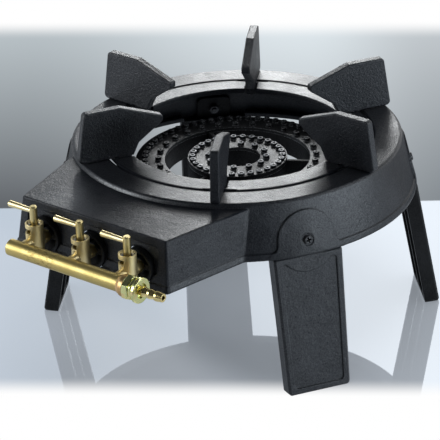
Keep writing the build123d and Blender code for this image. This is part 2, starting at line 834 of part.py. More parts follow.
# Flared collar on the tube, which the union nut draws up to
manifold_section = Plane((0, axis_y - manifold_forward, gas_height), x_dir=(1, 0, 0), z_dir=(0, -1, 0))
manifold_axis = Axis((0, axis_y - manifold_forward, gas_height), (1, 0, 0))
with BuildPart() as manifold_collar:
    with BuildSketch(manifold_section):
        collar_right = collar_left + collar_width
        with BuildLine():
            Polyline(
                (collar_left, manifold_radius + fit_gap),
                (collar_left, manifold_radius + collar_root),
                (collar_right - collar_band, manifold_radius + collar_rise),
                (collar_right, manifold_radius + collar_rise),
                (collar_right, manifold_radius + fit_gap),
                close=True,
            )
        make_face()
    revolve(axis=manifold_axis)
save(manifold_collar, "manifold_collar")

# Union nut over the tube's end, clamping the hose tail's flange
union_right = union_left + union_hex_length + union_round_length
flange_left = manifold_right + nut_gap
with BuildPart() as union_nut:
    with BuildSketch(sideways(union_left)):
        RegularPolygon(union_corner, 6)
    extrude(amount=union_hex_length)
    with BuildSketch(sideways(union_left + union_hex_length)):
        Circle(manifold_radius + union_round_rise)
    extrude(amount=union_round_length)
    chamfer(union_nut.faces().sort_by(Axis.X)[-1].edges(), union_chamfer)
    with BuildSketch(sideways(union_left)):
        Circle(manifold_radius + union_bore_gap)
    extrude(amount=flange_left + tail_flange_length - union_left, mode=Mode.SUBTRACT)
    with BuildSketch(sideways(union_left)):
        Circle(tail_shank_radius + union_bore_gap)
    extrude(amount=union_hex_length + union_round_length, mode=Mode.SUBTRACT)
save(union_nut, "union_nut")

# Hose tail: flange, shank and barbs round a straight bore
with BuildPart() as hose_tail:
    with BuildSketch(manifold_section):
        tail_end = union_right + tail_length
        barb_pitch = barb_slope + barb_crest
        barb_start = tail_end - barb_count * barb_pitch
        with BuildLine():
            outline = [
                (flange_left, tail_bore_radius),
                (flange_left, manifold_radius),
                (flange_left + tail_flange_length, manifold_radius),
                (flange_left + tail_flange_length, tail_shank_radius),
                (union_right, tail_shank_radius),
                (barb_start, barb_root_radius),
            ]
            for index in range(barb_count):
                ridge = barb_start + index * barb_pitch
                last = index == barb_count - 1
                outline += [
                    (ridge, barb_radius),
                    (ridge + barb_crest, barb_radius),
                    (ridge + barb_pitch, tail_tip_radius if last else barb_root_radius),
                ]
            outline.append((tail_end, tail_bore_radius))
            Polyline(*outline, close=True)
        make_face()
    revolve(axis=manifold_axis)
save(hose_tail, "hose_tail")

# Cocks
valve_y = axis_y - valve_forward
cup_radius = valve_radius - cup_wall
plug_top_radius = cup_radius - plug_shoulder
plug_bottom_radius = plug_top_radius - plug_taper
pin_reach = valve_radius - pin_setback
cup_floor = valve_top - cup_depth
plug_low = valve_bottom + plug_floor
pin_height = valve_top - slot_below_top - slot_height / 2
retainer_low = valve_top - retainer_drop - retainer_thickness
lever_height = stem_top - lever_drop

for across, place in zip(valve_places, valve_names):
    stem_axis = Axis((across, valve_y, 0), (0, 0, 1))
    # Section plane through the stem's axis: local x points to -X, local y up
    section = Plane((across, valve_y, 0), x_dir=(-1, 0, 0), z_dir=(0, 1, 0))
    # Plane square to X through the stem's axis, for the pin, lever and cross bore
    square = Plane((across, valve_y, 0), x_dir=(0, 1, 0), z_dir=(1, 0, 0))

    with BuildPart() as valve_body:
        with BuildSketch(Plane((across, valve_y, valve_bottom))):
            Circle(valve_radius)
        extrude(amount=valve_top - valve_bottom)
        with BuildSketch(facing(valve_forward, gas_height, across)):
            Circle(neck_radius)
        extrude(amount=manifold_stand)
        with BuildSketch(facing(valve_forward, gas_height, across)):
            Circle(outlet_radius)
        extrude(amount=-outlet_reach)
        with BuildSketch(sideways(across - valve_pitch / 2)):
            Circle(manifold_radius + braze_gap)
        extrude(amount=valve_pitch, mode=Mode.SUBTRACT)
        with BuildSketch(section):
            with BuildLine():
                Polyline(
                    (0, plug_low),
                    (plug_bottom_radius, plug_low),
                    (plug_top_radius, cup_floor),
                    (cup_radius, cup_floor),
                    (cup_radius, retainer_low),
                    (cup_radius + retainer_bite, retainer_low),
                    (cup_radius + retainer_bite, retainer_low + retainer_thickness),
                    (cup_radius, retainer_low + retainer_thickness),
                    (cup_radius, valve_top),
                    (0, valve_top),
                    close=True,
                )
            make_face()
        revolve(axis=stem_axis, mode=Mode.SUBTRACT)
        with BuildSketch(facing(valve_forward, gas_height, across)):
            Circle(port_radius)
        extrude(amount=manifold_stand, mode=Mode.SUBTRACT)
        with BuildSketch(facing(valve_forward, gas_height, across)):
            Circle(port_radius)
        extrude(amount=-outlet_reach, mode=Mode.SUBTRACT)
        with BuildSketch(facing(valve_forward - outlet_reach, gas_height, across)):
            Circle(injector_thread_radius + fit_gap)
        extrude(amount=injector_thread_length, mode=Mode.SUBTRACT)
        slot_start = radians(180 - slot_margin)
        slot_plane = Plane(
            (across, valve_y, 0),
            x_dir=(cos(slot_start), sin(slot_start), 0),
            z_dir=(sin(slot_start), -cos(slot_start), 0),
        )
        with BuildSketch(slot_plane):
            with Locations((stem_radius, pin_height)):
                Rectangle(valve_radius, slot_height, align=(Align.MIN, Align.CENTER))
        revolve(axis=stem_axis, revolution_arc=90 + 2 * slot_margin, mode=Mode.SUBTRACT)
    save(valve_body, f"valve_body_{place}")

    with BuildPart() as valve_plug:
        with BuildSketch(section):
            with BuildLine():
                Polyline(
                    (0, plug_low + running_gap),
                    (plug_bottom_radius - plug_clearance, plug_low + running_gap),
                    (plug_top_radius - plug_clearance, cup_floor),
                    (stem_radius, cup_floor),
                    (stem_radius, stem_top),
                    (0, stem_top),
                    close=True,
                )
            make_face()
        revolve(axis=stem_axis)
        chamfer(valve_plug.edges().filter_by(GeomType.CIRCLE).sort_by(Axis.Z)[-1], stem_round)
        with BuildSketch(square):
            with Locations((0, gas_height)):
                Circle(port_radius)
        extrude(amount=plug_top_radius, both=True, mode=Mode.SUBTRACT)
        with BuildSketch(square):
            with Locations((0, pin_height)):
                Circle(pin_radius + fit_gap)
        extrude(amount=stem_radius, both=True, mode=Mode.SUBTRACT)
        with BuildSketch(square.offset(lever_seat)):
            with Locations((0, lever_height)):
                Circle(lever_root_radius + fit_gap)
        extrude(amount=-lever_seat - stem_radius, mode=Mode.SUBTRACT)
    save(valve_plug, f"valve_plug_{place}")

    with BuildPart() as valve_pin:
        with BuildSketch(square.offset(stem_radius - fit_gap)):
            with Locations((0, pin_height)):
                Circle(pin_radius)
        extrude(amount=fit_gap - stem_radius - pin_reach)
    save(valve_pin, f"valve_pin_{place}")

    with BuildPart() as valve_lever:
        with BuildSketch(section) as lever_side:
            with BuildLine():
                Polyline(
                    (fit_gap - lever_seat, lever_height),
                    (fit_gap - lever_seat, lever_height + lever_root_radius),
                    (stem_radius, lever_height + lever_root_radius),
                    (lever_length, lever_height + lever_tip_radius),
                    (lever_length, lever_height),
                    close=True,
                )
            make_face()
            chamfer(lever_side.vertices().group_by(Axis.Y)[-1], lever_round)
        revolve(axis=Axis((across, valve_y, lever_height), (1, 0, 0)))
    save(valve_lever, f"valve_lever_{place}")

    with BuildPart() as valve_spring:
        with BuildSketch(section):
            spring_low = pin_height + pin_radius + spring_gap
            spring_high = retainer_low - running_gap
            with BuildLine():
                Polyline(
                    (stem_radius + running_gap, spring_high - spring_thickness),
                    (cup_radius - running_gap, spring_low),
                    (cup_radius - running_gap, spring_low + spring_thickness),
                    (stem_radius + running_gap, spring_high),
                    close=True,
                )
            make_face()
        revolve(axis=stem_axis)
    save(valve_spring, f"valve_spring_{place}")

    with BuildPart() as valve_retainer:
        with BuildSketch(Plane((across, valve_y, retainer_low))):
            Circle(cup_radius + retainer_bite - fit_gap)
            Circle(stem_radius + retainer_gap, mode=Mode.SUBTRACT)
        extrude(amount=retainer_thickness)
    save(valve_retainer, f"valve_retainer_{place}")

    # Injector: thread in the cock's outlet, hexagon, and a nose through the bell mouth's bridge
    with BuildPart() as injector:
        hex_forward = valve_forward - outlet_reach
        with BuildSketch(facing(hex_forward, gas_height, across)):
            RegularPolygon(injector_across_flats / sqrt(3), 6)
        extrude(amount=-injector_hex_length)
        with BuildSketch(facing(hex_forward, gas_height, across)):
            Circle(injector_thread_radius)
        extrude(amount=injector_thread_length - fit_gap)
        with BuildSketch(facing(hex_forward - injector_hex_length, gas_height, across)):
            Circle(injector_thread_radius)
        extrude(amount=-injector_nose_length)
        injector_length = injector_thread_length + injector_hex_length + injector_nose_length
        with BuildSketch(facing(hex_forward + injector_thread_length, gas_height, across)):
            Circle(injector_bore_radius)
        extrude(amount=injector_nose_length / 2 - injector_length, mode=Mode.SUBTRACT)
        with BuildSketch(facing(hex_forward + injector_thread_length, gas_height, across)):
            Circle(jet_radius)
        extrude(amount=-injector_length, mode=Mode.SUBTRACT)
    save(injector, f"injector_{place}")
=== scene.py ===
import json
import math
import bpy
from mathutils import Matrix, Vector


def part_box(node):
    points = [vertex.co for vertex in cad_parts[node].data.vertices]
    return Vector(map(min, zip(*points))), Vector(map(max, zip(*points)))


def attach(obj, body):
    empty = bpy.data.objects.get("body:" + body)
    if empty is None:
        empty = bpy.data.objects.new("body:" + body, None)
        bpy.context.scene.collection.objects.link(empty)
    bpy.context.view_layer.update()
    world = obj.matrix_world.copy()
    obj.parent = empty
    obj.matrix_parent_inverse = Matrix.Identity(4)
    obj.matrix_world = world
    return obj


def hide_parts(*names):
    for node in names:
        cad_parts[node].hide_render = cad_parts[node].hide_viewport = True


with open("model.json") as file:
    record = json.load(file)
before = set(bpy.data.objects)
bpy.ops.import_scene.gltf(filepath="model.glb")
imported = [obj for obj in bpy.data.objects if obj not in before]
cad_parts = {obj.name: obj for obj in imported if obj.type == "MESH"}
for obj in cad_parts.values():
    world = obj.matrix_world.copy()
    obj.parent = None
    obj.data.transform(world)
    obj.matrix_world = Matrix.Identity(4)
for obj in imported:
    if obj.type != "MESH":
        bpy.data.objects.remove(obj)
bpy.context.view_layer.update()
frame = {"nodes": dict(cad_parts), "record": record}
nodes = frame["nodes"]
scene = bpy.context.scene
scene.view_settings.view_transform = "Standard"

# The burner's axis, in metres
ring_low, ring_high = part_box("pan_support_ring")
axis_x = (ring_low.x + ring_high.x) / 2
axis_y = (ring_low.y + ring_high.y) / 2
floor_centre = Vector((axis_x, axis_y, 0))
upward = Vector((0, 0, 1))


def add_object(name, data):
    made = bpy.data.objects.new(name, data)
    scene.collection.objects.link(made)
    return made


# Camera at the photograph's angle
image_side = 440
view_azimuth = math.radians(38.2)
view_elevation = math.radians(26.0)
view_roll = math.radians(-1.8)
focal_pixels = 2601.0
view_distance = 3.0099
target_across = -0.0222
target_height = 0.1082
sensor_width = 36.0

# Level directions as the camera sees the stage, then the camera's own
view_right = Vector((math.cos(view_azimuth), math.sin(view_azimuth), 0))
view_forward = Vector((-math.sin(view_azimuth), math.cos(view_azimuth), 0))
camera_back = upward * math.sin(view_elevation) - view_forward * math.cos(view_elevation)
level_up = camera_back.cross(view_right)
camera_right = view_right * math.cos(view_roll) + level_up * math.sin(view_roll)
camera_up = level_up * math.cos(view_roll) - view_right * math.sin(view_roll)
eye = floor_centre + upward * target_height + view_right * target_across + camera_back * view_distance

camera_data = bpy.data.cameras.new("camera")
camera_data.sensor_width = sensor_width
camera_data.lens = sensor_width * focal_pixels / image_side
camera_data.clip_start = 0.05
camera_data.clip_end = 200.0
camera = add_object("camera", camera_data)
camera_turn = Matrix((camera_right, camera_up, camera_back)).transposed()
camera.matrix_world = Matrix.Translation(eye) @ camera_turn.to_4x4()
scene.camera = camera


class Nodes:
    """A node tree with short calls for adding and joining nodes."""

    def __init__(self, tree):
        self.tree = tree
        tree.nodes.clear()

    def add(self, kind, **settings):
        node = self.tree.nodes.new(kind)
        for name, value in settings.items():
            setattr(node, name, value)
        return node

    def join(self, source, target):
        self.tree.links.new(source, target)

    def value(self, socket, given):
        """Links a socket or sets a constant."""
        if isinstance(given, bpy.types.NodeSocket):
            self.join(given, socket)
        else:
            socket.default_value = given

    def place(self):
        """Place on the object, in metres."""
        return self.add("ShaderNodeTexCoord").outputs["Object"]

    def axes(self, vector):
        node = self.add("ShaderNodeSeparateXYZ")
        self.join(vector, node.inputs[0])
        return tuple(node.outputs)

    def math(self, operation, *inputs):
        node = self.add("ShaderNodeMath", operation=operation)
        for socket, given in zip(node.inputs, inputs):
            self.value(socket, given)
        return node.outputs[0]

    def times(self, first, second):
        return self.math("MULTIPLY", first, second)

    def minus(self, first, second):
        return self.math("SUBTRACT", first, second)

    def length(self, first, second):
        return self.math("SQRT", self.math("ADD", self.times(first, first), self.times(second, second)))

    def noise(self, vector, scale, detail=2.0, roughness=0.5, distortion=0.0):
        node = self.add("ShaderNodeTexNoise")
        self.join(vector, node.inputs["Vector"])
        node.inputs["Scale"].default_value = scale
        node.inputs["Detail"].default_value = detail
        node.inputs["Roughness"].default_value = roughness
        node.inputs["Distortion"].default_value = distortion
        return node.outputs["Fac"]

    def remap(self, given, low, high, new_low=0.0, new_high=1.0, smooth=True):
        node = self.add("ShaderNodeMapRange")
        node.interpolation_type = "SMOOTHSTEP" if smooth else "LINEAR"
        for socket, item in zip(node.inputs, (given, low, high, new_low, new_high)):
            self.value(socket, item)
        return node.outputs[0]

    def mix(self, factor, first, second):
        node = self.add("ShaderNodeMix", data_type="RGBA")
        self.value(node.inputs["Factor"], factor)
        colours = [socket for socket in node.inputs if socket.type == "RGBA"]
        for socket, given in zip(colours, (first, second)):
            self.value(socket, given)
        return [socket for socket in node.outputs if socket.type == "RGBA"][0]

    def ramp(self, factor, stops, interpolation="LINEAR"):
        """Colour that runs through stops, each a position and a colour."""
        node = self.add("ShaderNodeValToRGB")
        node.color_ramp.interpolation = interpolation
        self.join(factor, node.inputs[0])
        elements = node.color_ramp.elements
        for element, stop in zip(elements, (stops[0], stops[-1])):
            element.position, element.color = stop
        for position, tone in stops[1:-1]:
            elements.new(position).color = tone
        return node.outputs[0]

    def bump(self, height, strength, distance, normal):
        node = self.add("ShaderNodeBump")
        node.inputs["Strength"].default_value = strength
        node.inputs["Distance"].default_value = distance
        self.join(height, node.inputs["Height"])
        self.join(normal, node.inputs["Normal"])
        return node.outputs["Normal"]

    def rounded(self, radius):
        """Shading normal that rounds sharp edges."""
        node = self.add("ShaderNodeBevel", samples=6)
        node.inputs["Radius"].default_value = radius
        return node.outputs["Normal"]

    def edges(self, normal, low, high):
        """Near 1 along sharp edges, 0 on open faces."""
        true = self.add("ShaderNodeNewGeometry").outputs["True Normal"]
        dot = self.add("ShaderNodeVectorMath", operation="DOT_PRODUCT")
        self.join(normal, dot.inputs[0])
        self.join(true, dot.inputs[1])
        return self.remap(self.minus(1.0, dot.outputs["Value"]), low, high)

    def surface(self):
        shader = self.add("ShaderNodeBsdfPrincipled")
        self.join(shader.outputs[0], self.add("ShaderNodeOutputMaterial").inputs["Surface"])
        return shader

    def coloured(self, kind, tone):
        """Shader of a kind that has a colour."""
        node = self.add(kind)
        self.value(node.inputs["Color"], tone)
        return node.outputs[0]

    def blend(self, factor, first, second):
        """Mix of two shaders."""
        node = self.add("ShaderNodeMixShader")
        for socket, given in zip(node.inputs, (factor, first, second)):
            self.value(socket, given)
        return node.outputs[0]


def colour(red, green, blue):
    return (red, green, blue, 1.0)


def new_tree(name):
    """A new material and its empty node tree."""
    made = bpy.data.materials.new(name)
    made.use_nodes = True
    return made, Nodes(made.node_tree)


class AxisPlace:
    """Place on the stove: right and back of the burner's axis, radius from it, and height."""

    def __init__(self, tree, place):
        across, away, self.height = tree.axes(place)
        self.right = tree.minus(across, axis_x)
        self.back = tree.minus(away, axis_y)
        self.radius = tree.length(self.right, self.back)


def casting_skin(tree, place, soft, grain):
    """Normal of a sand casting: slow swell, leathery hide and fine sand over soft edges."""
    swell = tree.noise(place, scale=90.0, detail=3.0, roughness=0.55)
    hide = tree.noise(place, scale=420.0, detail=3.0, roughness=0.6)
    sand = tree.noise(place, scale=1150.0, detail=3.0, roughness=0.62)
    wavy = tree.bump(swell, strength=0.25, distance=0.0016, normal=soft)
    leathery = tree.bump(hide, strength=grain, distance=0.0008, normal=wavy)
    return tree.bump(sand, strength=grain, distance=0.0004, normal=leathery)


def cast_iron(name, tint, worn, rough, grain, wear, specular, upper=None, softness=0.0016, painted_sheen=None):
    """Painted sand casting with soft edges and worn arrises.

    tint is two tones of the paint and its pits. upper is a height with the colour and the gloss above it,
    and painted_sheen a function that gives the share of gloss by place, which paints light and shade.
    """
    upper_blur = 0.0002
    grazing_share = 0.3
    scuff_polish = 0.12
    made, tree = new_tree(name)
    place = tree.place()
    soft = tree.rounded(softness)
    blotch = tree.noise(place, scale=26.0, detail=4.0, roughness=0.6)
    speck = tree.noise(place, scale=620.0, roughness=0.6)
    holes = tree.noise(place, scale=480.0, detail=1.0)
    rubbed = tree.times(tree.edges(soft, low=0.02, high=0.16), tree.remap(speck, low=0.38, high=0.66))
    scuff = tree.times(rubbed, wear)
    paint = tree.mix(tree.remap(blotch, low=0.30, high=0.72), tint[0], tint[1])
    paint = tree.mix(tree.remap(speck, low=0.60, high=0.72, new_high=0.55), paint, tint[2])
    facing = tree.add("ShaderNodeLayerWeight").outputs["Facing"]
    sheen = tree.remap(facing, low=0.62, high=0.92, new_low=specular, new_high=specular * grazing_share)
    if upper is not None:
        start, upper_colour, upper_specular = upper
        above = tree.remap(tree.axes(place)[2], start - upper_blur, start + upper_blur)
        if callable(upper_colour):
            upper_colour = upper_colour(tree, place)
        paint = tree.mix(above, paint, upper_colour)
        sheen = tree.remap(above, low=0.0, high=1.0, new_low=sheen, new_high=upper_specular)
    if painted_sheen is not None:
        sheen = tree.times(sheen, painted_sheen(tree, place))
    sheen = tree.times(sheen, tree.remap(speck, low=0.36, high=0.64, new_low=0.72, new_high=1.28))
    sheen = tree.times(sheen, tree.remap(holes, low=0.68, high=0.74, new_low=1.0, new_high=0.25))
    gloss = tree.remap(blotch, low=0.25, high=0.75, new_low=rough - 0.05, new_high=rough + 0.06)
    surface = tree.surface()
    # The plain value stays beside the link for an export that drops the link
    surface.inputs["Specular IOR Level"].default_value = specular
    tree.join(sheen, surface.inputs["Specular IOR Level"])
    tree.join(tree.mix(scuff, paint, worn), surface.inputs["Base Color"])
    tree.join(tree.minus(gloss, tree.times(scuff, scuff_polish)), surface.inputs["Roughness"])
    tree.join(casting_skin(tree, place, soft, grain), surface.inputs["Normal"])
    return made


def brass(name, tint, rough, fleck_tone=None, fleck_right=0.0):
    """Bare brass with faint handling stains, and with flecks of a tone round a place along X."""
    fleck_stretch = (0.4, 1.0, 1.0)
    made, tree = new_tree(name)
    place = tree.place()
    stain = tree.noise(place, scale=55.0, detail=3.0, roughness=0.55, distortion=0.3)
    metal = tree.mix(tree.remap(stain, low=0.34, high=0.72), *tint)
    if fleck_tone is not None:
        stretched = tree.add("ShaderNodeVectorMath", operation="MULTIPLY")
        tree.join(place, stretched.inputs[0])
        stretched.inputs[1].default_value = fleck_stretch
        speck = tree.noise(stretched.outputs[0], scale=480.0, detail=3.0, roughness=0.65)
        flecks = tree.remap(speck, low=0.50, high=0.62, new_high=0.8)
        off_middle = tree.math("ABSOLUTE", tree.minus(AxisPlace(tree, place).right, fleck_right))
        patch = tree.remap(off_middle, low=0.016, high=0.030, new_low=1.0, new_high=0.0)
        metal = tree.mix(tree.times(flecks, patch), metal, fleck_tone)
    surface = tree.surface()
    surface.inputs["Metallic"].default_value = 1.0
    gloss = tree.remap(stain, low=0.30, high=0.75, new_low=rough - 0.02, new_high=rough + 0.04)
    tree.join(metal, surface.inputs["Base Color"])
    tree.join(gloss, surface.inputs["Roughness"])
    tree.join(tree.rounded(0.0006), surface.inputs["Normal"])
    return made


def zinc(name):
    """Yellow passivated zinc with a faint rainbow film."""
    film_tones = (
        (0.30, colour(0.78, 0.70, 0.29)),
        (0.48, colour(0.70, 0.74, 0.35)),
        (0.60, colour(0.80, 0.71, 0.31)),
        (0.72, colour(0.78, 0.56, 0.32)),
    )
    made, tree = new_tree(name)
    place = tree.place()
    film = tree.noise(place, scale=95.0, distortion=0.8)
    fine = tree.noise(place, scale=900.0)
    surface = tree.surface()
    surface.inputs["Metallic"].default_value = 1.0
    tree.join(tree.ramp(film, film_tones), surface.inputs["Base Color"])
    gloss = tree.remap(film, low=0.3, high=0.7, new_low=0.20, new_high=0.28)
    tree.join(gloss, surface.inputs["Roughness"])
    skin = tree.bump(fine, strength=0.03, distance=0.0001, normal=tree.rounded(0.0005))
    tree.join(skin, surface.inputs["Normal"])
    return made


def steel(name, tint, rough, metallic, recess=False):
    """Machined steel, with painted shade in its recesses where that is asked for."""
    recess_reach = 0.0025
    painted_recess_tone = colour(0.001, 0.001, 0.001)
    made, tree = new_tree(name)
    place = tree.place()
    patch = tree.noise(place, scale=140.0, detail=3.0, roughness=0.6)
    fine = tree.noise(place, scale=1200.0)
    surface = tree.surface()
    surface.inputs["Metallic"].default_value = metallic
    paint = tree.mix(tree.remap(patch, low=0.3, high=0.7), *tint)
    if recess:
        # painted shade: near black and without gloss where the ambient occlusion finds a recess
        shade = tree.add("ShaderNodeAmbientOcclusion", samples=8)
        shade.inputs["Distance"].default_value = recess_reach
        open_face = tree.remap(shade.outputs["AO"], low=0.45, high=0.80)
        paint = tree.mix(open_face, painted_recess_tone, paint)
        sheen = tree.remap(open_face, low=0.0, high=1.0, new_low=0.02, new_high=0.5)
        tree.join(sheen, surface.inputs["Specular IOR Level"])
    tree.join(paint, surface.inputs["Base Color"])
    gloss = tree.remap(patch, low=0.3, high=0.7, new_low=rough - 0.06, new_high=rough + 0.08)
    tree.join(gloss, surface.inputs["Roughness"])
    skin = tree.bump(fine, strength=0.12, distance=0.0002, normal=tree.rounded(0.0004))
    tree.join(skin, surface.inputs["Normal"])
    return made


# Paints, each with two tones and its pits, and the metal that shows where they are worn
black_paint = (colour(0.0125, 0.0136, 0.0165), colour(0.0195, 0.0210, 0.0250), colour(0.0080, 0.0086, 0.0104))
# Darker tones of fired burner iron, also used as painted shade on the legs in their shaded copy
fired_and_shaded_iron = (colour(0.0070, 0.0070, 0.0074), colour(0.0140, 0.0143, 0.0152), colour(0.0045, 0.0045, 0.0048))
# Darkest tones, used as painted shade: burner bases round their bell mouths, hidden leg tabs and nipple
# mouths
darkest_tones = (colour(0.0045, 0.0045, 0.0050), colour(0.0075, 0.0075, 0.0082), colour(0.0030, 0.0030, 0.0034))
worn_grey = colour(0.090, 0.095, 0.105)
bright_iron = colour(0.45, 0.46, 0.48)

# Rows of nipples on the inner burner, as radius and count, with their bright worn rims and painted shade in
# their mouths
cap_low, cap_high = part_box("inner_burner_cap")
cap_radius = (cap_high.x - cap_low.x) / 2
nipple_rows = ((cap_radius - 0.0055, 30), (cap_radius - 0.0237, 12))
painted_mouth_radius = 0.0023
painted_mouth_edge = (painted_mouth_radius - 0.0003, painted_mouth_radius + 0.0002)


def worn_rims_painted_mouths(tree, place):
    """Bright worn rims round the nipples, with painted shade in their mouths."""
    at = AxisPlace(tree, place)
    turn = tree.math("ARCTAN2", at.back, at.right)
    nearest = at.radius
    for row_radius, count in nipple_rows:
        step = 2 * math.pi / count
        steps = tree.math("DIVIDE", turn, step)
        off_nipple = tree.minus(steps, tree.math("ROUND", steps))
        beside = tree.times(off_nipple, step * row_radius)
        distance = tree.length(beside, tree.minus(at.radius, row_radius))
        nearest = tree.math("MINIMUM", nearest, distance)
    # painted shade: near-black mouths, wider than the bores, inside the worn rim colour
    return tree.mix(tree.remap(nearest, *painted_mouth_edge), darkest_tones[0], bright_iron)


# Regions of the body: top of the nose, step up to the rim, wall, and front face with its distance and slope
body_low, body_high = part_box("stove_body")
nose_top = body_high.z - 0.005
nose_margin = 0.0015
step_radius = 0.1895
step_middle = (nose_top + body_high.z) / 2
step_margin = 0.0022
rim_inside_radius = 0.186
wall_top = body_high.z - 0.001
wall_radius = 0.2045
front_reach = 0.2550
front_slope = 0.0877

# Shares of gloss, each as two places and the share at them, with the slant or middle that a place counts
# from. They paint shade and highlights into the gloss of the ring and the body.
ring_radius = (ring_high.x - ring_low.x) / 2
# painted shade as lost gloss: a dark band by the groove at the ring's edge, and a duller back of the ring
ring_groove_painted_shade = (ring_radius - 0.0030, ring_radius - 0.0016, 1.0, 0.03)
ring_back_painted_shade = (0.03, 0.12, 1.0, 0.75)
body_groove_painted_shade = (ring_radius + 0.0042, ring_radius + 0.0054, 0.03, 1.0)
nose_step_painted_shade = (0.191, 0.221, 0.03, 1.0)
nose_slant = 0.092
nose_painted_shade_sideways = (-0.07, 0.0, 1.08, 0.52)
step_highlight_right = -0.03
step_painted_highlight = (0.01, 0.06, 2.6, 1.0)
front_painted_shade_sideways = (0.0, 0.09, 0.85, 0.40)
wall_painted_sheen_up = (body_low.z, nose_top, 0.82, 1.22)
wall_painted_shade_backward = (0.02, 0.12, 1.0, 0.62)


def ring_painted_sheen(tree, place):
    """Painted shade as lost gloss: a dark band at the ring's outer edge by the groove, and less gloss at its
    back.
    """
    at = AxisPlace(tree, place)
    return tree.times(tree.remap(at.radius, *ring_groove_painted_shade), tree.remap(at.back, *ring_back_painted_shade))


def body_painted_sheen(tree, place):
    """Painted light and shade in the gloss: a dark band by the ring, a painted highlight on the step, painted
    shade on the front and the nose, and a wall that is glossier higher up and duller towards the back.
    """
    at = AxisPlace(tree, place)
    at_step_height = tree.math("COMPARE", at.height, step_middle, step_margin)
    on_step = tree.times(at_step_height, tree.math("GREATER_THAN", at.radius, rim_inside_radius))
    off_step_highlight = tree.math("ABSOLUTE", tree.minus(at.right, step_highlight_right))
    front_line = tree.math("MULTIPLY_ADD", tree.minus(nose_top, at.height), front_slope, front_reach)
    on_front = tree.math("LESS_THAN", tree.math("ADD", at.back, front_line), 0.0)
    at_nose_height = tree.math("COMPARE", at.height, nose_top, nose_margin)
    on_nose = tree.times(at_nose_height, tree.math("GREATER_THAN", at.radius, step_radius))
    slanted_radius = tree.minus(at.radius, tree.times(at.right, nose_slant))
    nose = tree.times(tree.remap(slanted_radius, *nose_step_painted_shade), tree.remap(at.right, *nose_painted_shade_sideways))
    below_rim = tree.math("LESS_THAN", at.height, wall_top)
    on_wall = tree.times(below_rim, tree.math("LESS_THAN", at.radius, wall_radius))
    wall = tree.times(tree.remap(at.height, *wall_painted_sheen_up, smooth=False), tree.remap(at.back, *wall_painted_shade_backward))
    painted_sheen = tree.remap(at.radius, *body_groove_painted_shade)
    # painted highlight on the step, painted shade on the front, nose and wall
    for region, share in (
        (on_step, tree.remap(off_step_highlight, *step_painted_highlight)),
        (on_front, tree.remap(at.right, *front_painted_shade_sideways)),
        (on_nose, nose),
        (on_wall, wall),
    ):
        painted_sheen = tree.times(painted_sheen, tree.remap(region, low=0.0, high=1.0, new_low=1.0, new_high=share))
    return painted_sheen


# Finish of each material slot
steel_tones = (colour(0.42, 0.42, 0.43), colour(0.28, 0.28, 0.29))
blackened_tones = (colour(0.012, 0.012, 0.013), colour(0.025, 0.025, 0.028))
satin_tones = (colour(0.62, 0.50, 0.21), colour(0.55, 0.43, 0.17))
bright_tones = (colour(0.70, 0.57, 0.27), colour(0.62, 0.49, 0.21))
finishes = {
    "cast_iron": cast_iron(
        "cast_iron_black", black_paint, worn_grey, rough=0.36, grain=0.40, wear=0.60, specular=0.40),
    "burner_iron": cast_iron(
        "burner_iron_fired", fired_and_shaded_iron, bright_iron, rough=0.38, grain=0.30, wear=0.60, specular=0.28),
    "satin_brass": brass("brass_satin", satin_tones, rough=0.42),
    "bright_brass": brass("brass_bright", bright_tones, rough=0.32),
    "yellow_zinc": zinc("zinc_yellow"),
    "black_steel": steel("steel_black", blackened_tones, rough=0.38, metallic=0.0, recess=True),
    "plain_steel": steel("steel_plain", steel_tones, rough=0.38, metallic=1.0),
}

# Castings whose finish differs from the rest of their slot, some of them with another one above a height, and
# lit and shaded copies that paint light and shade on some fins and legs
nipple_tips = (cap_high.z - 0.0005, worn_rims_painted_mouths, 0.36)
# painted shade: above the body's bottom, the legs' tabs inside the body take the darkest tone and little
# gloss
tab_painted_shade = (body_low.z + 0.0005, darkest_tones[0], 0.12)
body_iron = cast_iron(
    "cast_iron_body", black_paint, worn_grey, rough=0.36, grain=0.40, wear=0.15, specular=0.40,
    softness=0.0026, painted_sheen=body_painted_sheen)
ring_iron = cast_iron(
    "cast_iron_ring", black_paint, worn_grey, rough=0.36, grain=0.40, wear=0.10, specular=0.40,
    softness=0.0009, painted_sheen=ring_painted_sheen)
bare_iron = cast_iron(
    "burner_iron_bare", fired_and_shaded_iron, bright_iron, rough=0.38, grain=0.30, wear=0.60, specular=0.27,
    upper=nipple_tips)
# painted shade: near-black, dull burner bases, so that their bell mouths read dark
darkest_iron = cast_iron(
    "burner_iron_darkest", darkest_tones, worn_grey, rough=0.56, grain=0.30, wear=0.0, specular=0.20)
leg_iron = cast_iron(
    "cast_iron_leg", black_paint, worn_grey, rough=0.38, grain=0.25, wear=0.12, specular=0.44,
    upper=tab_painted_shade)
# shaded copy: darker and duller legs, painted shade on all but the front right leg
leg_iron_shaded_copy = cast_iron(
    "cast_iron_leg_shaded_copy", fired_and_shaded_iron, worn_grey, rough=0.42, grain=0.25, wear=0.12, specular=0.18,
    upper=tab_painted_shade)
fin_iron = cast_iron(
    "cast_iron_fin", black_paint, worn_grey, rough=0.36, grain=0.80, wear=0.60, specular=0.42)
# shaded and lit copies of the fin iron: duller on fin 1 as painted shade, glossier on fins 5 and 6 as painted
# light
fin_iron_shaded_copy = cast_iron(
    "cast_iron_fin_shaded_copy", black_paint, worn_grey, rough=0.40, grain=0.90, wear=0.60, specular=0.26)
fin_iron_lit_copy = cast_iron(
    "cast_iron_fin_lit_copy", black_paint, worn_grey, rough=0.36, grain=0.80, wear=0.60, specular=0.60)

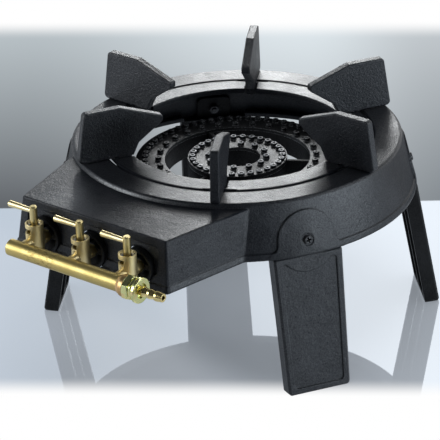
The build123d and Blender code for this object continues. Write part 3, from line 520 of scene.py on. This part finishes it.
# Metals whose finish differs from the rest of their slot; the jets' paler brass is painted light
nut_tones = (colour(0.075, 0.075, 0.078), colour(0.045, 0.045, 0.048))
tube_tones = (colour(0.59, 0.465, 0.175), colour(0.53, 0.405, 0.145))
tube_fleck_tone = colour(0.27, 0.18, 0.06)
tail_tones = (colour(0.86, 0.70, 0.32), colour(0.78, 0.60, 0.24))
brazed_tones = (colour(0.64, 0.44, 0.20), colour(0.58, 0.36, 0.15))
turned_tones = (colour(0.86, 0.72, 0.40), colour(0.77, 0.62, 0.30))
lever_tones = (colour(0.84, 0.71, 0.40), colour(0.76, 0.62, 0.31))
jet_lit_tones = (colour(0.88, 0.70, 0.32), colour(0.80, 0.61, 0.25))
nut_steel = steel("steel_nut", nut_tones, rough=0.34, metallic=0.8)
tube_brass = brass("brass_tube", tube_tones, rough=0.42, fleck_tone=tube_fleck_tone, fleck_right=-0.030)
tail_brass = brass("brass_tail", tail_tones, rough=0.22)
brazed_brass = brass("brass_brazed", brazed_tones, rough=0.34)
turned_brass = brass("brass_turned", turned_tones, rough=0.44)
lever_brass = brass("brass_lever", lever_tones, rough=0.36)
# lit copy: paler brass than the other fittings, painted light on the jets in the shade of the bells
jet_brass_lit_copy = brass("brass_jet_lit_copy", jet_lit_tones, rough=0.38)


def each_cock(start):
    """Names of a piece that each cock has."""
    return [start + side for side in ("left", "centre", "right")]


special = {}
for finish, names in (
    (body_iron, ["stove_body"]),
    (ring_iron, ["pan_support_ring"]),
    (fin_iron_shaded_copy, ["pan_fin_1"]),
    (fin_iron, ["pan_fin_2", "pan_fin_3", "pan_fin_4"]),
    (fin_iron_lit_copy, ["pan_fin_5", "pan_fin_6"]),
    (bare_iron, ["inner_burner_cap"]),
    (darkest_iron, ["outer_burner_base", "inner_burner_base"]),
    (leg_iron, ["leg_front_right"]),
    (leg_iron_shaded_copy, ["leg_front_left", "leg_rear_right", "leg_rear_left"]),
    (nut_steel, ["leg_nuts"]),
    (tube_brass, ["gas_manifold"]),
    (tail_brass, ["hose_tail"]),
    (brazed_brass, ["manifold_collar"]),
    (turned_brass, each_cock("valve_body_")),
    (lever_brass, each_cock("valve_lever_")),
    (jet_brass_lit_copy, each_cock("injector_")),
):
    special.update({name: finish for name in names})
for entry in frame["record"]["subparts"]:
    mesh = nodes[entry["node"]].data
    mesh.materials.clear()
    mesh.materials.append(special.get(entry["node"], finishes[entry["material_slot"]]))

# Pieces turned from profiles, each step of which is a distance along a line and an outline round it
turned_steps = 96
point_radius = 0.0001


def disc(radius):
    return lambda turn: radius


def hexagon(flat, limit):
    """Hexagon by half its width across flats, cut to a circle."""
    def outline(turn):
        off_flat = (turn + math.pi / 6) % (math.pi / 3) - math.pi / 6
        return min(flat / math.cos(off_flat), limit)
    return outline


def cross(half_length, half_width):
    """Cross recess."""
    least_sine = 0.001

    def outline(turn):
        swing = abs((turn + math.pi / 4) % (math.pi / 2) - math.pi / 4)
        return min(half_length / math.cos(swing), half_width / max(math.sin(swing), least_sine))
    return outline


def add_turned(points, faces, start, along, up, profile):
    """Adds a ring of points for each step of a profile and joins the rings with faces."""
    side = along.cross(up)
    for step, (distance, outline) in enumerate(profile):
        for index in range(turned_steps):
            turn = 2 * math.pi * index / turned_steps
            spoke = up * math.cos(turn) + side * math.sin(turn)
            points.append(start + along * distance + spoke * outline(turn))
            if step:
                first = len(points) - 1
                following = first - index + (index + 1) % turned_steps
                faces.append((first - turned_steps, following - turned_steps, following, first))


def add_piece(name, points, faces, slot, node):
    """Makes a piece of the stove that stands in for a solid."""
    mesh = bpy.data.meshes.new(name)
    mesh.from_pydata(points, [], faces)
    mesh.validate()
    mesh.materials.append(finishes[slot])
    piece = add_object(name, mesh)
    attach(piece, "stove")
    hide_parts(node)


# Union nut: hexagon with a flat side facing the front, neck, and round end with a recess for the tail
nut_low, nut_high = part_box("union_nut")
nut_middle = (nut_low + nut_high) / 2
nut_length = nut_high.x - nut_low.x
nut_flat = (nut_high.z - nut_low.z) / 2 + 0.0006
nut_corner = nut_flat / math.cos(math.radians(30))
nut_bore = nut_flat - 0.0034
bore_mouth = 0.0006
bore_mouth_depth = 0.0010
hex_end = 0.0084
hex_chamfer = 0.0012
chamfer_inset = 0.0004
groove_radius = nut_flat - 0.0022
shallow_groove_radius = groove_radius + 0.0008
shallow_groove_start = hex_end + 0.0002
shallow_groove_end = hex_end + 0.0008
neck_radius = nut_flat - 0.0006
neck_corner = neck_radius + 0.0014
neck_start = hex_end + 0.0009
neck_full = hex_end + 0.0016
neck_end = 0.0126
neck_chamfer = 0.0008
groove_lean = 0.0001
end_start = 0.0137
end_radius = nut_flat + 0.0013
end_edge = 0.0006
end_face_edge = 0.0014
end_full = nut_length - 0.0009
end_shoulder = nut_length - 0.0002
recess_radius = 0.0084
recess_depth = 0.0030
recess_taper = 0.0012
tail_hole = 0.0053
nut_profile = [
    (bore_mouth_depth, disc(nut_bore)),
    (0.0, disc(nut_bore + bore_mouth)),
    (0.0, hexagon(nut_flat, nut_flat - chamfer_inset)),
    (hex_chamfer, hexagon(nut_flat, nut_corner)),
    (hex_end - hex_chamfer, hexagon(nut_flat, nut_corner)),
    (hex_end, hexagon(nut_flat, nut_flat - chamfer_inset)),
    (shallow_groove_start, disc(shallow_groove_radius)),
    (shallow_groove_end, disc(shallow_groove_radius)),
    (neck_start, hexagon(neck_radius, neck_radius)),
    (neck_full, hexagon(neck_radius, neck_corner)),
    (neck_end - neck_chamfer, hexagon(neck_radius, neck_corner)),
    (neck_end, hexagon(neck_radius, neck_radius - chamfer_inset)),
    (neck_end + groove_lean, disc(groove_radius)),
    (end_start, disc(groove_radius)),
    (end_start + groove_lean, disc(end_radius - end_edge)),
    (end_start + groove_lean + end_edge, disc(end_radius)),
    (end_full, disc(end_radius)),
    (end_shoulder, disc(end_radius - end_edge)),
    (nut_length, disc(end_radius - end_face_edge)),
    (nut_length, disc(recess_radius)),
    (nut_length - recess_depth, disc(recess_radius - recess_taper)),
    (nut_length - recess_depth, disc(tail_hole)),
]
nut_points = []
nut_faces = []
nut_start = Vector((nut_low.x, nut_middle.y, nut_middle.z))
add_turned(nut_points, nut_faces, nut_start, Vector((1, 0, 0)), Vector((0, 1, 0)), nut_profile)
add_piece("union_nut_turned", nut_points, nut_faces, "yellow_zinc", "union_nut")

# Leg screws: round heads with a deep cross, each along the line of its solid
tip_bevel = 0.0005
head_band = 0.0005
head_dome = ((0.0010, 0.0004), (0.0003, 0.0010), (0.0, 0.0014))
cross_turn = math.radians(14)
cross_size = (0.0034, 0.0009)
cross_floor_size = (0.0024, 0.0006)
cross_floor_depth = 0.0018
cross_point_depth = 0.0022


def screw_profile(shank, seat, head, face):
    """Bevelled tip and shank, seat of the head, its dome and the cross in its face."""
    return [
        (0.0, disc(point_radius)),
        (0.0, disc(shank - tip_bevel)),
        (tip_bevel, disc(shank)),
        (seat, disc(shank)),
        (seat, disc(head)),
        (seat + head_band, disc(head)),
        *[(face - depth, disc(head - inset)) for depth, inset in head_dome],
        (face, cross(*cross_size)),
        (face - cross_floor_depth, cross(*cross_floor_size)),
        (face - cross_point_depth, disc(point_radius)),
    ]


def off_axis(place):
    return math.hypot(place.x - axis_x, place.y - axis_y)


def by_line(places, start, along):
    """Distances of places along a line, and their radii from it."""
    distances = [(place - start).dot(along) for place in places]
    radii = [(place - start - along * item).length for place, item in zip(places, distances)]
    return distances, radii


corner_points = {}
for vertex in nodes["leg_screws"].data.vertices:
    place = nodes["leg_screws"].matrix_world @ vertex.co
    corner_points.setdefault((place.x > axis_x, place.y > axis_y), []).append(place)
screw_points = []
screw_faces = []
for corner in sorted(corner_points):
    group = sorted(corner_points[corner], key=off_axis)
    halfway = (off_axis(group[0]) + off_axis(group[-1])) / 2
    tip_group = [place for place in group if off_axis(place) < halfway]
    head_group = group[len(tip_group):]
    tip_centre = sum(tip_group, Vector()) / len(tip_group)
    head_centre = sum(head_group, Vector()) / len(head_group)
    along = (head_centre - tip_centre).normalized()
    tip_radii = by_line(tip_group, tip_centre, along)[1]
    head_distances, head_radii = by_line(head_group, tip_centre, along)
    profile = screw_profile(max(tip_radii), min(head_distances), max(head_radii), max(head_distances))
    level = along.cross(upward).normalized()
    up = Matrix.Rotation(cross_turn, 3, along) @ level.cross(along)
    add_turned(screw_points, screw_faces, tip_centre, along, up, profile)
add_piece("leg_screws_turned", screw_points, screw_faces, "black_steel", "leg_screws")

# Table and backdrop, drawn by place on one large floor: across and away as the camera sees it
floor_half = 30.0
band_edge = 0.2640
band_blur = 0.004
band_tilt = 0.031
fade_behind = (0.822, 0.895)
fade_behind_tilt = 0.080
fade_before = (-0.180, -0.2235)
fade_before_tilt = 0.074
table_end = (-0.75, -1.05)
white = colour(1.0, 1.0, 1.0)
gloom_tone = colour(0.02, 0.021, 0.023)

# Backdrop, with tones at its left, middle and right
backdrop_height = (band_edge, 0.85)
backdrop_span = (-0.30, 0.30)
backdrop_middle = 0.68
low_tones = (colour(0.112, 0.121, 0.133), colour(0.36, 0.385, 0.405), colour(0.225, 0.25, 0.272))
high_tones = (colour(0.47, 0.52, 0.55), colour(0.735, 0.80, 0.84), colour(0.55, 0.59, 0.62))
dusk_span = (0.34, 0.50)
dusk_tone = colour(0.10, 0.11, 0.12)

# Table, with a pool of light at the lower left and a bright strip farther left
board_tone = colour(0.62, 0.66, 0.72)
table_span = (-0.34, 0.145)
table_tones = (colour(0.195, 0.235, 0.285), colour(0.435, 0.475, 0.525))
pool_slant = 0.735
pool_edge = (-0.10, -0.19)
pool_span = (-0.27, -0.13)
pool_tones = (colour(0.47, 0.52, 0.59), colour(0.62, 0.675, 0.745))
strip_span = (-0.34, -0.50)
strip_tone = colour(0.92, 0.98, 1.08)
mirror_share = 0.52
mirror_rough = 0.02
mirror_tone = colour(0.92, 0.96, 1.0)
pool_mirror_tone = colour(0.60, 0.63, 0.655)


def backdrop_shader(tree, across, away):
    """Grey backdrop, paler towards its top and brightest right of its middle."""
    position = tree.remap(across, *backdrop_span, smooth=False)
    low, high = [
        tree.ramp(position, tuple(zip((0.0, backdrop_middle, 1.0), tones)), "EASE")
        for tones in (low_tones, high_tones)
    ]
    tone = tree.mix(tree.remap(away, *backdrop_height, smooth=False), low, high)
    return tree.coloured("ShaderNodeEmission", tree.mix(tree.remap(across, *dusk_span), tone, dusk_tone))


def table_shader(tree, across, away):
    """Pale polished table that glows a little where the studio lights it."""
    pool = tree.remap(tree.math("MULTIPLY_ADD", away, pool_slant, across), *pool_edge)
    pool_tone = tree.mix(tree.remap(across, *pool_span), *pool_tones)
    tone = tree.mix(pool, tree.mix(tree.remap(across, *table_span), *table_tones), pool_tone)
    tone = tree.mix(tree.remap(across, *strip_span), tone, strip_tone)
    lit = tree.add("ShaderNodeAddShader")
    tree.join(tree.coloured("ShaderNodeBsdfDiffuse", board_tone), lit.inputs[0])
    tree.join(tree.coloured("ShaderNodeEmission", tone), lit.inputs[1])
    mirror = tree.add("ShaderNodeBsdfGlossy")
    mirror.inputs["Roughness"].default_value = mirror_rough
    tree.join(tree.mix(pool, mirror_tone, pool_mirror_tone), mirror.inputs["Color"])
    return tree.blend(mirror_share, lit.outputs[0], mirror.outputs[0])


def floor_finish(name):
    """Table before the backdrop, both fading to white, and gloom in front of the table for reflections."""
    made, tree = new_tree(name)
    across, away = tree.axes(tree.place())[:2]

    def slanted(tilt):
        """Distance away from the camera, slanted a little from left to right."""
        return tree.math("MULTIPLY_ADD", across, tilt, away)

    path = tree.add("ShaderNodeLightPath")
    seen = path.outputs["Is Camera Ray"]
    mirrored = tree.math("MAXIMUM", seen, path.outputs["Is Glossy Ray"])
    behind = tree.remap(slanted(band_tilt), band_edge, band_edge + band_blur)
    shown = tree.blend(behind, table_shader(tree, across, away), backdrop_shader(tree, across, away))
    fade_back = tree.times(tree.remap(slanted(fade_behind_tilt), *fade_behind), mirrored)
    fade_front = tree.times(tree.remap(slanted(fade_before_tilt), *fade_before), seen)
    fade = tree.math("MAXIMUM", fade_back, fade_front)
    shown = tree.blend(fade, shown, tree.coloured("ShaderNodeEmission", white))
    past_table = tree.times(tree.remap(away, *table_end), tree.minus(1.0, seen))
    shown = tree.blend(past_table, shown, tree.coloured("ShaderNodeEmission", gloom_tone))
    tree.join(shown, tree.add("ShaderNodeOutputMaterial").inputs["Surface"])
    return made


floor_corners = [(x * floor_half, y * floor_half, 0) for x, y in ((-1, -1), (1, -1), (1, 1), (-1, 1))]
floor_mesh = bpy.data.meshes.new("floor")
floor_mesh.from_pydata(floor_corners, [], [(0, 1, 2, 3)])
floor_mesh.materials.append(floor_finish("floor_pale"))
floor = add_object("floor", floor_mesh)
floor.matrix_world = Matrix.Translation(floor_centre) @ Matrix.Rotation(view_azimuth, 4, "Z")

# Studio surround: pale behind, dim on the camera's side and overhead, plain where the camera sees it
far_turn = (-0.09, 0.09)
far_tones = (colour(0.54, 0.59, 0.65), colour(0.98, 1.0, 1.02))
front_turn = (-0.05, 0.60)
front_tone = colour(0.035, 0.037, 0.042)
overhead_turn = (0.48, 0.75)
overhead_tone = colour(0.042, 0.045, 0.05)
plain_tone = colour(0.8, 0.8, 0.8)


def studio_world(name):
    """World that lights the stage and that reflections show."""
    world = bpy.data.worlds.new(name)
    world.use_nodes = True
    tree = Nodes(world.node_tree)
    ray = tree.add("ShaderNodeTexCoord").outputs["Generated"]

    def towards(direction, turn):
        """From 0 to 1 as the ray turns towards a direction."""
        node = tree.add("ShaderNodeVectorMath", operation="DOT_PRODUCT")
        tree.join(ray, node.inputs[0])
        node.inputs[1].default_value = direction
        return tree.remap(node.outputs["Value"], *turn)

    tone = tree.mix(towards(view_right, far_turn), *far_tones)
    tone = tree.mix(towards(view_forward, front_turn), front_tone, tone)
    tone = tree.mix(towards(upward, overhead_turn), tone, overhead_tone)
    surround = tree.coloured("ShaderNodeBackground", tone)
    plain = tree.coloured("ShaderNodeBackground", plain_tone)
    seen = tree.add("ShaderNodeLightPath").outputs["Is Camera Ray"]
    tree.join(tree.blend(seen, surround, plain), tree.add("ShaderNodeOutputWorld").inputs["Surface"])
    return world


scene.world = studio_world("studio")

# The polished floor has a lamp of its own and doesn't mirror the others
all_but_floor = bpy.data.collections.new("floor_left_out")
all_but_floor.objects.link(floor)
all_but_floor.collection_objects[0].light_linking.link_state = "EXCLUDE"
floor_alone = bpy.data.collections.new("floor_alone")
floor_alone.objects.link(floor)
aim_height = 0.2
cool = (0.90, 0.95, 1.0)


def softbox(name, right, forward, height, width, depth, power, tint, lights=all_but_floor):
    """Soft area lamp, placed as the camera sees the stage and aimed at the burner."""
    lamp = bpy.data.lights.new(name, "AREA")
    lamp.shape = "RECTANGLE"
    lamp.size = width
    lamp.size_y = depth
    lamp.energy = power
    lamp.color = tint
    place = floor_centre + view_right * right + view_forward * forward + upward * height
    aim = (floor_centre + upward * aim_height - place).normalized()
    made = add_object(name, lamp)
    made.matrix_world = Matrix.Translation(place) @ aim.to_track_quat("-Z", "Y").to_matrix().to_4x4()
    made.light_linking.receiver_collection = lights


softbox(
    "lamp_back", right=0.08, forward=1.5, height=0.74, width=0.40, depth=0.55,
    power=9.6, tint=(0.97, 0.99, 1.0))
softbox("lamp_right", right=1.5, forward=-0.1, height=1.55, width=0.7, depth=0.7, power=7.0, tint=cool)
softbox("lamp_left", right=-1.5, forward=-0.38, height=0.67, width=0.9, depth=0.8, power=13.0, tint=cool)
softbox(
    "lamp_front", right=1.75, forward=-1.0, height=0.35, width=2.0, depth=0.6,
    power=24.5, tint=(0.81, 0.91, 1.0))
softbox(
    "lamp_floor", right=0.0, forward=0.0, height=2.4, width=2.0, depth=2.0,
    power=32.0, tint=(0.95, 0.98, 1.0), lights=floor_alone)
